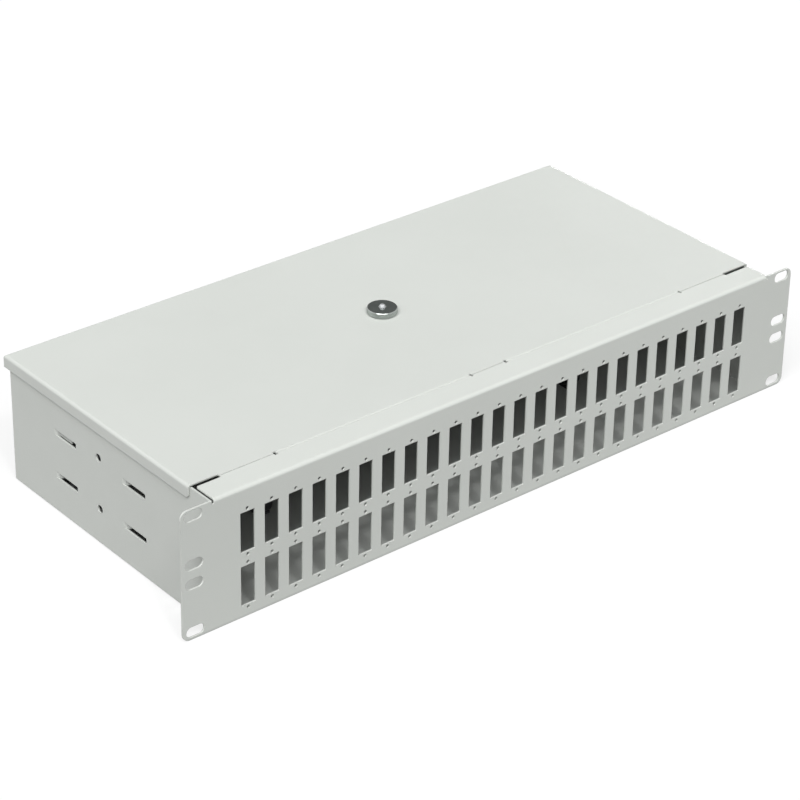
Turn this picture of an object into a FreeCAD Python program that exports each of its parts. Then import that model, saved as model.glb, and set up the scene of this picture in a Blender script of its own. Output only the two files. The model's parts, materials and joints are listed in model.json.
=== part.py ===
import FreeCAD
import Part
import math
import os

# Fibre patch panel for a 19-inch rack, two units high: a folded sheet-steel housing
# with two rows of adapter ports and a lid that hooks under the panel's top flange.
# Millimetres. X runs along the panel, Y from the panel to the rear, Z up.
# The origin is the middle of the footprint at the level of the floor's underside.

# Housing
PANEL_WIDTH = 482.6
PANEL_HEIGHT = 86.0
HOUSING_DEPTH = 210.0
PANEL_SHEET = 1.2
TRAY_SHEET = 1.2
LID_SHEET = 1.0
EAR_WIDTH = 21.1
TRAY_BEND_RADIUS = 0.4
PANEL_BEND_RADIUS = 1.0
LID_BEND_RADIUS = 1.0

# Front panel: ears, rack slots and top flange
EAR_CORNER_RADIUS = 5.0
EAR_TOP_DROP = 0.5
RACK_SLOT_INSET = 8.75
RACK_SLOT_OUTER_RISE = 76.2
RACK_SLOT_INNER_RISE = 12.7
RACK_SLOT_LENGTH = 12.5
RACK_SLOT_WIDTH = 6.8
FLANGE_DEPTH = 18.4
FLANGE_END_GAP = 0.8
FLANGE_END_STEP = 1.45
FLANGE_CORNER_RADIUS = 1.2
FLANGE_RELIEF_WIDTH = 1.6
FLANGE_RELIEF_DROP = 0.5

# Adapter ports with their screw holes
PORT_COLUMNS = 24
PORT_END_INSET = 24.7
PORT_WIDTH = 10.0
PORT_HEIGHT = 26.3
PORT_ROW_PITCH = 35.6
PORT_ROWS_DROP = 4.3
PORT_SCREW_SPACING = 30.3
PORT_SCREW_DIAMETER = 2.2

# Lanced tie slots, their tabs and round holes in the side walls
SIDE_SLOT_LENGTH = 18.5
SIDE_SLOT_WIDTH = 3.9
SIDE_SLOT_CORNER = 0.8
SIDE_SLOT_PITCH = 71.0
SIDE_SLOT_RISE = 29.8
SIDE_SLOTS_HEIGHT = 41.3
SIDE_SLOTS_REAR_INSET = 96.0
SIDE_TAB_LENGTH = 16.5
SIDE_TAB_GAP = 0.15
SIDE_TAB_ROOT = 2.0
SIDE_TAB_RADIUS = 0.8
SIDE_TAB_RAMP = 4.5
SIDE_TAB_OFFSET = 1.5
SIDE_HOLE_DIAMETER = 5.2
SIDE_HOLE_RISE = 35.2
SIDE_HOLES_HEIGHT = 42.3
SIDE_HOLES_REAR_INSET = 93.3

# Lid and its tongues
LID_FLANGE = 8.2
LID_FLANGE_CORNER = 2.5
LID_SIDE_GAP = 0.3
LID_REAR_GAP = 3.6
LID_SEAT_GAP = 0.2
LID_SLIT = 0.5
LID_NOTCH_LENGTH = 21.8
LID_NOTCH_DEPTH = 1.4
LID_FRONT_SHIFT = -1.4
TONGUE_WIDTH = 144.8
TONGUE_SPACING = 173.9
TONGUE_REACH = 10.0
TONGUE_GAP = 0.2
TONGUE_FOOT_GAP = 0.25
JOGGLE_RUN = 0.7
JOGGLE_RADIUS = 0.2
TONGUE_RELIEF_WIDTH = 2.2
TONGUE_RELIEF_NARROW = 1.4
TONGUE_RELIEF_DEPTH = 1.5
TONGUE_RELIEF_FRONT = 1.4

# Stud and knurled nut that hold the lid
STUD_X = -7.6
STUD_REAR_INSET = 93.2
STUD_CORE_DIAMETER = 3.3
STUD_HEAD_DIAMETER = 6.0
STUD_PROUD = 1.6
STUD_CHAMFER = 0.4
HEAD_GAP = 0.05
THREAD_CLEARANCE = 0.5
LID_HOLE_CLEARANCE = 0.95
NUT_DIAMETER = 19.4
NUT_HEIGHT = 4.0
NUT_CHAMFER = 0.3
NUT_SEAT_GAP = 0.05

# Stack of splice trays on the stud
SPLICE_WIDTH = 160.0
SPLICE_HEIGHT = 10.0
SPLICE_WALL = 1.6
SPLICE_CORNER_RADIUS = 14.0
SPLICE_HOLE_INSET = 15.0
SPLICE_REAR_GAP = 9.0
SPLICE_HOLE_CLEARANCE = 0.75
SPLICE_BOSS_WALL = 2.7
SPLICE_ENTRY_WIDTH = 14.0
SPLICE_ENTRY_INSET = 18.0
SPLICE_LIP_LENGTH = 12.0
SPLICE_LIP_DEPTH = 6.0
SPLICE_LIP_THICKNESS = 1.2
SPLICE_LIP_PITCH = 56.0
MANDREL_RADIUS = 20.0
MANDREL_WALL = 1.4
MANDREL_HEIGHT = 7.0
MANDREL_SPACING = 94.0
COVER_SHEET = 1.2
SPACER_HEIGHT = 6.8
SPACER_WALL = 2.6
WASHER_DIAMETER = 9.0
WASHER_SHEET = 0.8
STACK_NUT_FLATS = 7.0
STACK_NUT_HEIGHT = 3.2
POST_DIAMETER = 8.0
POST_PEG_DIAMETER = 4.6
POST_PIN_DIAMETER = 3.6
POST_PIN_CLEARANCE = 0.2
POST_SPACING = 120.0
POST_EDGE_INSET = 8.0

# Splice combs
COMB_LENGTH = 40.0
COMB_GROOVES = 12
COMB_PITCH = 3.7
COMB_FIN = 1.2
COMB_BASE = 1.0
COMB_FIN_HEIGHT = 5.0
COMB_REAR_INSET = 26.0

# Rear cable entries
ENTRY_SIDE_INSETS = (35.0, 75.0)
ENTRY_HEIGHT = 43.0
GROMMET_NECK_DIAMETER = 20.0
GROMMET_FLANGE_DIAMETER = 26.0
GROMMET_BORE_DIAMETER = 13.0
GROMMET_LIP = 1.8
GROMMET_EDGE = 0.8
GROMMET_GAP = 0.05

# Cable anchors
ANCHOR_SHEET = 1.5
ANCHOR_BEND_RADIUS = 1.0
ANCHOR_WIDTH = 60.0
ANCHOR_HEIGHT = 30.0
ANCHOR_BASE = 16.0
ANCHOR_REAR_INSET = 28.0
ANCHOR_TIE_SLOT_WIDTH = 4.0
ANCHOR_TIE_SLOT_HEIGHT = 14.0
ANCHOR_TIE_SLOT_PITCH = 10.0
ANCHOR_STUD_SPACING = 40.0
ANCHOR_STUD_CORE = 3.3
ANCHOR_STUD_HEAD = 6.0
ANCHOR_STUD_PROUD = 2.0
ANCHOR_NUT_FLATS = 7.0
ANCHOR_NUT_HEIGHT = 3.2
FASTENER_CLEARANCE = 0.4

# Fibre guides
GUIDE_RING_DIAMETER = 18.0
GUIDE_RING_WALL = 1.6
GUIDE_WIDTH = 8.0
GUIDE_GAP_ANGLE = 50.0
GUIDE_BASE_LENGTH = 12.0
GUIDE_BASE_HEIGHT = 1.6
GUIDE_PEG_DIAMETER = 4.8
GUIDE_FRONT_PAIR = (94.5, 121.7)
GUIDE_REAR_PAIR = (85.0, 62.0)

# Earthing point
EARTH_SIDE_INSET = 13.5
EARTH_REAR_INSET = 40.0
EARTH_STUD_CORE = 4.9
EARTH_STUD_HEAD = 7.6
EARTH_STUD_PROUD = 8.0
EARTH_WASHER_DIAMETER = 12.0
EARTH_WASHER_SHEET = 1.6
EARTH_NUT_FLATS = 10.0
EARTH_NUT_HEIGHT = 5.0

# Length by which a cutter passes the faces that it opens
OVERCUT = 1.0

# Planes that several pieces share
FRONT = -HOUSING_DEPTH / 2
REAR = HOUSING_DEPTH / 2
PANEL_BACK = FRONT + PANEL_SHEET
TRAY_SIDE = PANEL_WIDTH / 2 - EAR_WIDTH
TRAY_REAR = REAR - LID_SHEET - LID_REAR_GAP
TRAY_TOP = PANEL_HEIGHT - LID_SHEET - LID_SEAT_GAP
SIDE_WALL_TOP = PANEL_HEIGHT - LID_SHEET - LID_BEND_RADIUS + LID_SIDE_GAP
RACK_SLOT_X = PANEL_WIDTH / 2 - RACK_SLOT_INSET
PORT_PITCH = 2 * (TRAY_SIDE - PORT_END_INSET) / (PORT_COLUMNS - 1)
FLANGE_HALF = TRAY_SIDE - TRAY_SHEET - FLANGE_END_GAP
FLANGE_REAR = FRONT + FLANGE_DEPTH
LID_SIDE = TRAY_SIDE + LID_SIDE_GAP + LID_SHEET
LID_FRONT = FLANGE_REAR + LID_SLIT
STUD_Y = TRAY_REAR - STUD_REAR_INSET
STUD_RADIUS = STUD_CORE_DIAMETER / 2
SPLICE_FRONT = STUD_Y - SPLICE_HOLE_INSET
SPLICE_REAR = TRAY_REAR - TRAY_SHEET - SPLICE_REAR_GAP
SPLICE_BASE = TRAY_SHEET + SPACER_HEIGHT
SPLICE_LEVELS = {"lower": SPLICE_BASE, "upper": SPLICE_BASE + SPLICE_HEIGHT}
STACK_TOP = SPLICE_BASE + SPLICE_HEIGHT * len(SPLICE_LEVELS) + COVER_SHEET
POST_Y = SPLICE_REAR - SPLICE_WALL - POST_EDGE_INSET
ANCHOR_X = TRAY_SIDE - sum(ENTRY_SIDE_INSETS) / len(ENTRY_SIDE_INSETS)
ANCHOR_REAR = TRAY_REAR - ANCHOR_REAR_INSET
ANCHOR_STUD_Y = ANCHOR_REAR - (ANCHOR_BASE + ANCHOR_SHEET) / 2
EARTH_X = -(TRAY_SIDE - EARTH_SIDE_INSET)
EARTH_Y = TRAY_REAR - EARTH_REAR_INSET

PLANES = {
    "yz": (lambda a, b, level: FreeCAD.Vector(level, a, b), FreeCAD.Vector(1, 0, 0)),
    "xz": (lambda a, b, level: FreeCAD.Vector(a, level, b), FreeCAD.Vector(0, 1, 0)),
    "xy": (lambda a, b, level: FreeCAD.Vector(a, b, level), FreeCAD.Vector(0, 0, 1)),
}


# Solids from outlines
def corner_points(before, corner, after, radius):
    """Start, middle and end of the arc that rounds one corner of an outline."""
    to_before = (before[0] - corner[0], before[1] - corner[1])
    to_after = (after[0] - corner[0], after[1] - corner[1])
    u = [c / math.hypot(*to_before) for c in to_before]
    v = [c / math.hypot(*to_after) for c in to_after]
    half = math.acos(max(-1.0, min(1.0, u[0] * v[0] + u[1] * v[1]))) / 2
    bisector = (u[0] + v[0], u[1] + v[1])
    b = [c / math.hypot(*bisector) for c in bisector]
    setback = radius / math.tan(half)
    inward = radius / math.sin(half) - radius
    start = (corner[0] + u[0] * setback, corner[1] + u[1] * setback)
    middle = (corner[0] + b[0] * inward, corner[1] + b[1] * inward)
    end = (corner[0] + v[0] * setback, corner[1] + v[1] * setback)
    return start, middle, end


def extrude(corners, plane, low, high):
    """Prism between two levels; corners are (a, b) or (a, b, rounding radius)."""
    place, direction = PLANES[plane]
    arcs = []
    for i, corner in enumerate(corners):
        radius = corner[2] if len(corner) > 2 else 0.0
        if radius > 0:
            following = corners[(i + 1) % len(corners)]
            arcs.append(corner_points(corners[i - 1], corner, following, radius))
        else:
            arcs.append((corner[:2], None, corner[:2]))
    edges = []
    for i, (start, middle, end) in enumerate(arcs):
        if middle is not None:
            ends = [place(*point, low) for point in (start, middle, end)]
            edges.append(Part.Arc(*ends).toShape())
        next_start = arcs[(i + 1) % len(arcs)][0]
        if math.dist(end, next_start) > 1e-6:
            edges.append(Part.makeLine(place(*end, low), place(*next_start, low)))
    return Part.Face(Part.Wire(edges)).extrude(direction * (high - low))


def folded_sheet(path, thickness, radius, plane, low, high):
    """Sheet bent along a path of corners; it lies to the left of the path, with one inner radius."""
    headings = []
    for here, there in zip(path, path[1:]):
        length = math.dist(here, there)
        headings.append(((there[0] - here[0]) / length, (there[1] - here[1]) / length))
    near = []
    far = []
    for i, corner in enumerate(path):
        first = headings[max(i - 1, 0)]
        second = headings[min(i, len(headings) - 1)]
        turn = first[0] * second[1] - first[1] * second[0]
        along = (1 + first[0] * second[0] + first[1] * second[1])
        shift = [thickness * c / along for c in (-first[1] - second[1], first[0] + second[0])]
        inside = radius if abs(turn) > 1e-9 else 0.0
        outside = radius + thickness if abs(turn) > 1e-9 else 0.0
        near.append((corner[0], corner[1], outside if turn > 0 else inside))
        far.append((corner[0] + shift[0], corner[1] + shift[1], inside if turn > 0 else outside))
    return extrude(near + far[::-1], plane, low, high)


def box(x0, x1, y0, y1, z0, z1):
    return Part.makeBox(x1 - x0, y1 - y0, z1 - z0, FreeCAD.Vector(x0, y0, z0))


def rod(axis, centre, low, high, radius):
    """Cylinder along X, Y or Z; centre gives the other two coordinates in order."""
    if axis == "x":
        return Part.makeCylinder(radius, high - low, FreeCAD.Vector(low, *centre), FreeCAD.Vector(1, 0, 0))
    if axis == "y":
        base = FreeCAD.Vector(centre[0], low, centre[1])
        return Part.makeCylinder(radius, high - low, base, FreeCAD.Vector(0, 1, 0))
    return Part.makeCylinder(radius, high - low, FreeCAD.Vector(*centre, low))


def rounded_rectangle(a0, a1, b0, b1, radius):
    return [(a0, b0, radius), (a1, b0, radius), (a1, b1, radius), (a0, b1, radius)]


def slot(plane, a, b, length, width, low, high):
    """Obround cutter whose length runs along the plane's first axis."""
    place, direction = PLANES[plane]
    half = (length - width) / 2
    r = width / 2
    edges = []
    for end in (1, -1):
        start = place(a + end * half, b - end * r, low)
        tip = place(a + end * (half + r), b, low)
        finish = place(a + end * half, b + end * r, low)
        across = place(a - end * half, b + end * r, low)
        edges.append(Part.Arc(start, tip, finish).toShape())
        edges.append(Part.makeLine(finish, across))
    return Part.Face(Part.Wire(edges)).extrude(direction * (high - low))


def ring(x, y, z0, z1, outer, bore):
    return rod("z", (x, y), z0, z1, outer).cut(rod("z", (x, y), z0, z1, bore))


def hex_nut(x, y, z0, height, flats, bore):
    reach = flats / math.sqrt(3)
    corners = []
    for i in range(6):
        turn = math.radians(60 * i)
        corners.append((x + reach * math.cos(turn), y + reach * math.sin(turn)))
    return extrude(corners, "xy", z0, z0 + height).cut(rod("z", (x, y), z0, z0 + height, bore))


def clinch_stud(x, y, core, head, top):
    """Stud whose flat head is pressed flush into the floor."""
    shank = rod("z", (x, y), 0.0, top - STUD_CHAMFER, core)
    point = Part.makeCone(core, core - STUD_CHAMFER, STUD_CHAMFER, FreeCAD.Vector(x, y, top - STUD_CHAMFER))
    return rod("z", (x, y), 0.0, TRAY_SHEET, head).fuse([shank, point]).removeSplitter()


def joined(solids):
    return solids[0].fuse(solids[1:]).removeSplitter()


def pierced(solid, cutters):
    return solid.cut(Part.makeCompound(cutters))


# Places of repeated features
def port_centres():
    middle = PANEL_HEIGHT / 2 - PORT_ROWS_DROP
    for row in (1, -1):
        for column in range(PORT_COLUMNS):
            x = (column - (PORT_COLUMNS - 1) / 2) * PORT_PITCH
            yield x, middle + row * PORT_ROW_PITCH / 2


def entry_centres():
    for side in (-1, 1):
        for inset in ENTRY_SIDE_INSETS:
            yield side * (TRAY_SIDE - inset), ENTRY_HEIGHT


def anchor_stud_places():
    for side in (-1, 1):
        for end in (-1, 1):
            yield side * ANCHOR_X + end * ANCHOR_STUD_SPACING / 2, ANCHOR_STUD_Y


def guide_places():
    for side_inset, rear_inset in (GUIDE_FRONT_PAIR, GUIDE_REAR_PAIR):
        for side in (-1, 1):
            yield side * (TRAY_SIDE - side_inset), TRAY_REAR - rear_inset


def joint_ends():
    """Inner ends of the two wide parts of the joint between the panel's flange and the lid."""
    for side in (-1, 1):
        yield side, side * (LID_SIDE - LID_NOTCH_LENGTH) + LID_FRONT_SHIFT


def tongue_spans():
    """Ends of the lid's two tongues, each between the outer sides of a wide and a narrow relief."""
    for side in (-1, 1):
        middle = LID_FRONT_SHIFT + side * TONGUE_SPACING / 2
        left = middle - TONGUE_WIDTH / 2
        right = middle + TONGUE_WIDTH / 2
        yield left - TONGUE_RELIEF_WIDTH, left, right, right + TONGUE_RELIEF_NARROW


def side_slot_places():
    """Side of the wall, middle of the slot along Y, height, and whether its tab stands at a right angle."""
    middle = TRAY_REAR - SIDE_SLOTS_REAR_INSET
    for side in (-1, 1):
        for level in (-1, 1):
            for end in (-1, 1):
                upright = (side, level, end) != (-1, 1, 1)
                y = middle + end * SIDE_SLOT_PITCH / 2
                yield side, y, SIDE_SLOTS_HEIGHT + level * SIDE_SLOT_RISE / 2, upright


def post_places():
    for side in (-1, 1):
        yield STUD_X + side * POST_SPACING / 2, POST_Y


# Front panel
def front_panel():
    face = [(FLANGE_REAR, PANEL_HEIGHT), (FRONT, PANEL_HEIGHT), (FRONT, 0.0)]
    body = folded_sheet(face, PANEL_SHEET, PANEL_BEND_RADIUS, "yz", -FLANGE_HALF, FLANGE_HALF)
    end_rear = FLANGE_REAR - FLANGE_END_STEP
    plan = []
    for side, inner in joint_ends():
        end = [(inner, FLANGE_REAR), (inner, end_rear), (side * FLANGE_HALF, end_rear, FLANGE_CORNER_RADIUS)]
        end.append((side * FLANGE_HALF, FRONT))
        plan += end if side < 0 else end[::-1]
    body = body.common(extrude(plan, "xy", 0.0, PANEL_HEIGHT))
    half = PANEL_WIDTH / 2
    ear_top = PANEL_HEIGHT - EAR_TOP_DROP
    r = EAR_CORNER_RADIUS
    cut_from = FRONT - OVERCUT
    cut_to = PANEL_BACK + OVERCUT
    ears = []
    cutters = []
    relief_floor = PANEL_HEIGHT - PANEL_BEND_RADIUS - PANEL_SHEET - FLANGE_RELIEF_DROP
    for side in (-1, 1):
        root = side * FLANGE_HALF
        tip = side * half
        ear = [(root, 0.0), (tip, 0.0, r), (tip, ear_top, r), (root, ear_top)]
        ears.append(extrude(ear, "xz", FRONT, PANEL_BACK))
        low, high = sorted((root, root + side * FLANGE_RELIEF_WIDTH))
        cutters.append(box(low, high, cut_from, cut_to, relief_floor, PANEL_HEIGHT))
    for side in (-1, 1):
        for rise in (RACK_SLOT_OUTER_RISE, RACK_SLOT_INNER_RISE):
            for end in (-1, 1):
                x = side * RACK_SLOT_X
                z = PANEL_HEIGHT / 2 + end * rise / 2
                cutters.append(slot("xz", x, z, RACK_SLOT_LENGTH, RACK_SLOT_WIDTH, cut_from, cut_to))
    notch_front = FLANGE_REAR - TONGUE_RELIEF_FRONT
    notch_floor = PANEL_HEIGHT - PANEL_SHEET - OVERCUT
    for x0, left, right, x1 in tongue_spans():
        for low, high in ((x0, left), (right, x1)):
            notch = box(low, high, notch_front, FLANGE_REAR + OVERCUT, notch_floor, PANEL_HEIGHT + OVERCUT)
            cutters.append(notch)
    for x, z in port_centres():
        w = PORT_WIDTH / 2
        h = PORT_HEIGHT / 2
        cutters.append(box(x - w, x + w, cut_from, cut_to, z - h, z + h))
        for end in (-1, 1):
            hole = (x, z + end * PORT_SCREW_SPACING / 2)
            cutters.append(rod("y", hole, cut_from, cut_to, PORT_SCREW_DIAMETER / 2))
    return pierced(joined([body] + ears), cutters)


# Tray with floor, side walls and rear wall
def tray_shell():
    """Floor and three walls; the corners are closed, with bends along the floor's edges."""
    r = TRAY_BEND_RADIUS
    t = TRAY_SHEET
    s = TRAY_SIDE
    top = TRAY_TOP + OVERCUT
    across = [(-s, 0.0, r + t), (s, 0.0, r + t), (s, TRAY_TOP), (-s, TRAY_TOP)]
    along = [(PANEL_BACK, 0.0), (TRAY_REAR, 0.0, r + t), (TRAY_REAR, TRAY_TOP), (PANEL_BACK, TRAY_TOP)]
    outside = extrude(across, "xz", PANEL_BACK, TRAY_REAR).common(extrude(along, "yz", -s, s))
    across = [(t - s, t, r), (s - t, t, r), (s - t, top), (t - s, top)]
    front = PANEL_BACK - OVERCUT
    along = [(front, t), (TRAY_REAR - t, t, r), (TRAY_REAR - t, top), (front, top)]
    inside = extrude(across, "xz", front, TRAY_REAR - t).common(extrude(along, "yz", -s, s))
    return outside.cut(inside)


def side_slot(y, z):
    """Cutter for a lanced slot of the left wall: round front corners, rear end at the ramp of the tab."""
    w = SIDE_SLOT_WIDTH / 2
    r = SIDE_SLOT_CORNER
    front = y - SIDE_SLOT_LENGTH / 2
    rear = y + SIDE_SLOT_LENGTH / 2 + SIDE_TAB_RAMP + TRAY_SHEET / 2
    corners = [(front, z - w, r), (rear, z - w), (rear, z + w), (front, z + w, r)]
    return extrude(corners, "yz", -TRAY_SIDE - OVERCUT, TRAY_SHEET + OVERCUT - TRAY_SIDE)


def side_tab(y, z, upright):
    """Tab of a slot in the left wall: a ramp behind the slot, then bent inward or only pressed inward."""
    bend = y + SIDE_SLOT_LENGTH / 2
    start = bend + SIDE_TAB_RAMP
    sunk = SIDE_TAB_OFFSET - TRAY_SIDE
    tip = (SIDE_TAB_LENGTH - TRAY_SIDE, bend) if upright else (sunk, start - SIDE_TAB_LENGTH)
    path = [(-TRAY_SIDE, start + SIDE_TAB_ROOT), (-TRAY_SIDE, start), (sunk, bend), tip]
    w = SIDE_SLOT_WIDTH / 2 - SIDE_TAB_GAP
    return folded_sheet(path, TRAY_SHEET, SIDE_TAB_RADIUS, "xy", z - w, z + w)


def chassis_tray():
    """Shell with its openings; behind the panel's flange the side walls step down under the lid's bends."""
    cutters = []
    tabs = []
    step_y = LID_FRONT + LID_NOTCH_DEPTH - LID_SLIT
    holes_y = TRAY_REAR - SIDE_HOLES_REAR_INSET
    for side, y, z, upright in side_slot_places():
        pair = [side_slot(y, z), side_tab(y, z, upright)]
        if side > 0:
            pair = [shape.mirror(FreeCAD.Vector(), FreeCAD.Vector(1, 0, 0)) for shape in pair]
        cutters.append(pair[0])
        tabs.append(pair[1])
    for side in (-1, 1):
        low, high = sorted((side * (TRAY_SIDE - TRAY_SHEET - OVERCUT), side * (TRAY_SIDE + OVERCUT)))
        wall = sorted((side * (TRAY_SIDE - TRAY_SHEET - LID_BEND_RADIUS), side * (TRAY_SIDE + OVERCUT)))
        cutters.append(box(*wall, step_y, TRAY_REAR + OVERCUT, SIDE_WALL_TOP, TRAY_TOP + OVERCUT))
        for level in (-1, 1):
            hole = (holes_y, SIDE_HOLES_HEIGHT + level * SIDE_HOLE_RISE / 2)
            cutters.append(rod("x", hole, low, high, SIDE_HOLE_DIAMETER / 2))
    for centre in entry_centres():
        radius = GROMMET_NECK_DIAMETER / 2 + GROMMET_GAP
        cutters.append(rod("y", centre, TRAY_REAR - TRAY_SHEET - OVERCUT, TRAY_REAR + OVERCUT, radius))
    floor_holes = [((STUD_X, STUD_Y), STUD_HEAD_DIAMETER), ((EARTH_X, EARTH_Y), EARTH_STUD_HEAD)]
    floor_holes += [(place, ANCHOR_STUD_HEAD) for place in anchor_stud_places()]
    floor_holes += [(place, GUIDE_PEG_DIAMETER) for place in guide_places()]
    floor_holes += [(place, POST_PEG_DIAMETER) for place in post_places()]
    for place, diameter in floor_holes:
        cutters.append(rod("z", place, -OVERCUT, TRAY_SHEET + OVERCUT, diameter / 2 + HEAD_GAP))
    return joined([pierced(tray_shell(), cutters)] + tabs)


# Lid
def lid_shell():
    """Top sheet with side and rear flanges; the rear corners are closed."""
    r = LID_BEND_RADIUS
    t = LID_SHEET
    s = LID_SIDE
    top = PANEL_HEIGHT
    low = top - LID_FLANGE
    across = [(-s, low), (s, low), (s, top, r + t), (-s, top, r + t)]
    along = [(LID_FRONT, low), (REAR, low), (REAR, top, r + t), (LID_FRONT, top)]
    outside = extrude(across, "xz", LID_FRONT, REAR).common(extrude(along, "yz", -s, s))
    below = low - OVERCUT
    front = LID_FRONT - OVERCUT
    across = [(t - s, below), (s - t, below), (s - t, top - t, r), (t - s, top - t, r)]
    along = [(front, below), (REAR - t, below), (REAR - t, top - t, r), (front, top - t)]
    inside = extrude(across, "xz", front, REAR - t).common(extrude(along, "yz", -s, s))
    return outside.cut(inside)


def lid():
    low = PANEL_HEIGHT - LID_FLANGE - OVERCUT
    high = PANEL_HEIGHT + OVERCUT
    front = LID_FRONT - OVERCUT
    notch_rear = LID_FRONT + LID_NOTCH_DEPTH
    cutters = []
    for side, inner in joint_ends():
        x0, x1 = sorted((inner, side * (LID_SIDE + OVERCUT)))
        cutters.append(box(x0, x1, front, notch_rear, low, high))
        x0, x1 = sorted((side * (LID_SIDE - LID_SHEET - LID_BEND_RADIUS), side * (LID_SIDE + OVERCUT)))
        c = LID_FLANGE_CORNER
        square = box(x0, x1, front, notch_rear + c, low, PANEL_HEIGHT - LID_FLANGE + c)
        round_off = rod("x", (notch_rear + c, PANEL_HEIGHT - LID_FLANGE + c), x0, x1, c)
        cutters.append(square.cut(round_off))
    tongue_root = LID_FRONT + TONGUE_RELIEF_DEPTH
    for x0, left, right, x1 in tongue_spans():
        cutters.append(box(x0, x1, front, tongue_root, low, high))
    hole = STUD_RADIUS + LID_HOLE_CLEARANCE
    cutters.append(rod("z", (STUD_X, STUD_Y), low, high, hole))
    pieces = [pierced(lid_shell(), cutters)]
    level = PANEL_HEIGHT - PANEL_SHEET - TONGUE_GAP
    foot = FLANGE_REAR + TONGUE_FOOT_GAP
    path = [
        (tongue_root, PANEL_HEIGHT),
        (foot + JOGGLE_RUN, PANEL_HEIGHT),
        (foot, level),
        (FLANGE_REAR - TONGUE_REACH, level),
    ]
    for x0, left, right, x1 in tongue_spans():
        pieces.append(folded_sheet(path, LID_SHEET, JOGGLE_RADIUS, "yz", left, right))
    return joined(pieces)


# Lid fastening
def thumb_nut():
    z0 = PANEL_HEIGHT + NUT_SEAT_GAP
    z1 = z0 + NUT_HEIGHT
    r = NUT_DIAMETER / 2
    c = NUT_CHAMFER
    bore = STUD_RADIUS + THREAD_CLEARANCE
    half = [(bore, z0), (r - c, z0), (r, z0 + c), (r, z1 - c), (r - c, z1), (bore, z1)]
    points = [FreeCAD.Vector(STUD_X + a, STUD_Y, z) for a, z in half]
    face = Part.Face(Part.makePolygon(points + points[:1]))
    return face.revolve(FreeCAD.Vector(STUD_X, STUD_Y, 0), FreeCAD.Vector(0, 0, 1), 360)


def lid_stud():
    top = PANEL_HEIGHT + NUT_SEAT_GAP + NUT_HEIGHT + STUD_PROUD
    return clinch_stud(STUD_X, STUD_Y, STUD_RADIUS, STUD_HEAD_DIAMETER / 2, top)


# Splice trays
def splice_outline(margin):
    half = SPLICE_WIDTH / 2 - margin
    front = SPLICE_FRONT + margin
    rear = SPLICE_REAR - margin
    return rounded_rectangle(STUD_X - half, STUD_X + half, front, rear, SPLICE_CORNER_RADIUS - margin)


def splice_tray(z0):
    """Shallow moulded tray with a clamping boss, two winding mandrels, entries and fibre lips."""
    z1 = z0 + SPLICE_HEIGHT
    floor = z0 + SPLICE_WALL
    shell = extrude(splice_outline(0.0), "xy", z0, z1)
    shell = shell.cut(extrude(splice_outline(SPLICE_WALL), "xy", floor, z1))
    hole = STUD_RADIUS + SPLICE_HOLE_CLEARANCE
    pieces = [shell, rod("z", (STUD_X, STUD_Y), z0, z1, hole + SPLICE_BOSS_WALL)]
    middle = (SPLICE_FRONT + SPLICE_REAR) / 2
    cutters = [rod("z", (STUD_X, STUD_Y), z0, z1, hole)]
    half = SPLICE_WIDTH / 2
    for side in (-1, 1):
        x = STUD_X + side * MANDREL_SPACING / 2
        hollow = MANDREL_RADIUS - MANDREL_WALL
        mandrel = ring(x, middle, floor, floor + MANDREL_HEIGHT, MANDREL_RADIUS, hollow)
        inner_half = sorted((x, x - side * (MANDREL_RADIUS + OVERCUT)))
        gap = box(*inner_half, middle - MANDREL_RADIUS, middle + MANDREL_RADIUS, floor, z1)
        pieces.append(mandrel.cut(gap))
        wall = sorted((STUD_X + side * (half - SPLICE_WALL - OVERCUT), STUD_X + side * (half + OVERCUT)))
        entry = SPLICE_FRONT + SPLICE_ENTRY_INSET
        cutters.append(box(*wall, entry, entry + SPLICE_ENTRY_WIDTH, floor, z1))
        lip = sorted((STUD_X + side * (half - SPLICE_LIP_DEPTH), STUD_X + side * (half - SPLICE_WALL / 2)))
        lip_y = (middle - SPLICE_LIP_LENGTH / 2, middle + SPLICE_LIP_LENGTH / 2)
        pieces.append(box(*lip, *lip_y, z1 - SPLICE_LIP_THICKNESS, z1))
        lip = (STUD_X + side * SPLICE_LIP_PITCH / 2 - SPLICE_LIP_LENGTH / 2,
               STUD_X + side * SPLICE_LIP_PITCH / 2 + SPLICE_LIP_LENGTH / 2)
        for edge, inward in ((SPLICE_FRONT, 1), (SPLICE_REAR, -1)):
            lip_y = sorted((edge + inward * SPLICE_WALL / 2, edge + inward * SPLICE_LIP_DEPTH))
            pieces.append(box(*lip, *lip_y, z1 - SPLICE_LIP_THICKNESS, z1))
    for place in post_places():
        pin = POST_PIN_DIAMETER / 2 + POST_PIN_CLEARANCE
        cutters.append(rod("z", place, z0, floor, pin))
    return pierced(joined(pieces), cutters)


def splice_comb(z0):
    """Comb of thin fins on a base; the splice sleeves lie along X between the fins."""
    floor = z0 + SPLICE_WALL
    x0 = STUD_X - COMB_LENGTH / 2
    x1 = STUD_X + COMB_LENGTH / 2
    last = SPLICE_REAR - SPLICE_WALL - COMB_REAR_INSET + COMB_GROOVES * COMB_PITCH / 2
    first = last - COMB_GROOVES * COMB_PITCH
    pieces = [box(x0, x1, first, last + COMB_FIN, floor, floor + COMB_BASE)]
    for i in range(COMB_GROOVES + 1):
        y = first + i * COMB_PITCH
        pieces.append(box(x0, x1, y, y + COMB_FIN, floor, floor + COMB_BASE + COMB_FIN_HEIGHT))
    return joined(pieces)


def splice_tray_cover():
    z0 = STACK_TOP - COVER_SHEET
    hole = rod("z", (STUD_X, STUD_Y), z0, STACK_TOP, STUD_RADIUS + SPLICE_HOLE_CLEARANCE)
    return extrude(splice_outline(0.0), "xy", z0, STACK_TOP).cut(hole)


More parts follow.
